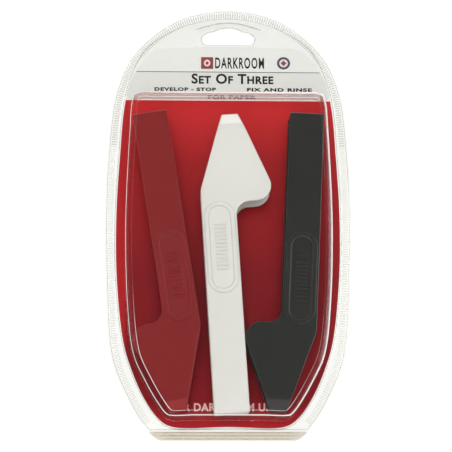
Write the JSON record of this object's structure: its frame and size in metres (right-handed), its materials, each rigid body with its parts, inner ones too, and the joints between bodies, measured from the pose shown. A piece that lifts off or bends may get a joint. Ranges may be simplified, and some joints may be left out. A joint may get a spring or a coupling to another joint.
{
  "type": "print tongs pack",
  "caption": "Darkroom print tongs with thumb pads, side hooks and springy arms, lying on a printed card inside a clear folding clamshell pack with a hang slot",
  "frame": {"origin": "middle of the underside of the pack as it lies on its back", "axes": "+X across the width, +Y along the length towards the hang slot, +Z out of the front of the dome"},
  "size_m": [0.1484, 0.264, 0.0233],
  "materials": {
    "clear_plastic": "clear thermoformed sheet, polished",
    "card_board": "printed, satin varnish",
    "red_plastic": "satin moulded",
    "white_plastic": "satin moulded",
    "dark_plastic": "satin moulded"
  },
  "bodies": {
    "pack_back": {"back_shell": "clear_plastic", "fold_hinge": "clear_plastic", "insert_card": "card_board", "red_rear_arm": "red_plastic", "red_spring_bend": "red_plastic", "white_rear_arm": "white_plastic", "white_spring_bend": "white_plastic", "dark_rear_arm": "dark_plastic", "dark_spring_bend": "dark_plastic"},
    "pack_front": {"front_shell": "clear_plastic"},
    "red_arm": {"red_front_arm": "red_plastic"},
    "white_arm": {"white_front_arm": "white_plastic"},
    "dark_arm": {"dark_front_arm": "dark_plastic"}
  },
  "joints": [
    {"name": "pack_fold", "type": "hinge", "parent": "pack_back", "child": "pack_front", "pos_m": [0, -0.1268, 0.0022], "axis": [1, 0, 0], "range_deg": [0, 115]},
    {"name": "red_squeeze", "type": "hinge", "parent": "pack_back", "child": "red_arm", "pos_m": [-0.04645, 0.05557, 0.0188], "axis": [0.9871, 0.1599, 0], "range_deg": [0, 2.4], "stiffness_Nm_per_rad": 3, "springref_deg": -1.15},
    {"name": "white_squeeze", "type": "hinge", "parent": "pack_back", "child": "white_arm", "pos_m": [0.00146, -0.11191, 0.0188], "axis": [-0.9979, -0.0645, 0], "range_deg": [0, 2.4], "stiffness_Nm_per_rad": 3, "springref_deg": -1.15},
    {"name": "dark_squeeze", "type": "hinge", "parent": "pack_back", "child": "dark_arm", "pos_m": [0.04654, 0.05541, 0.0188], "axis": [0.9988, -0.0489, 0], "range_deg": [0, 2.4], "stiffness_Nm_per_rad": 3, "springref_deg": -1.15}
  ]
}
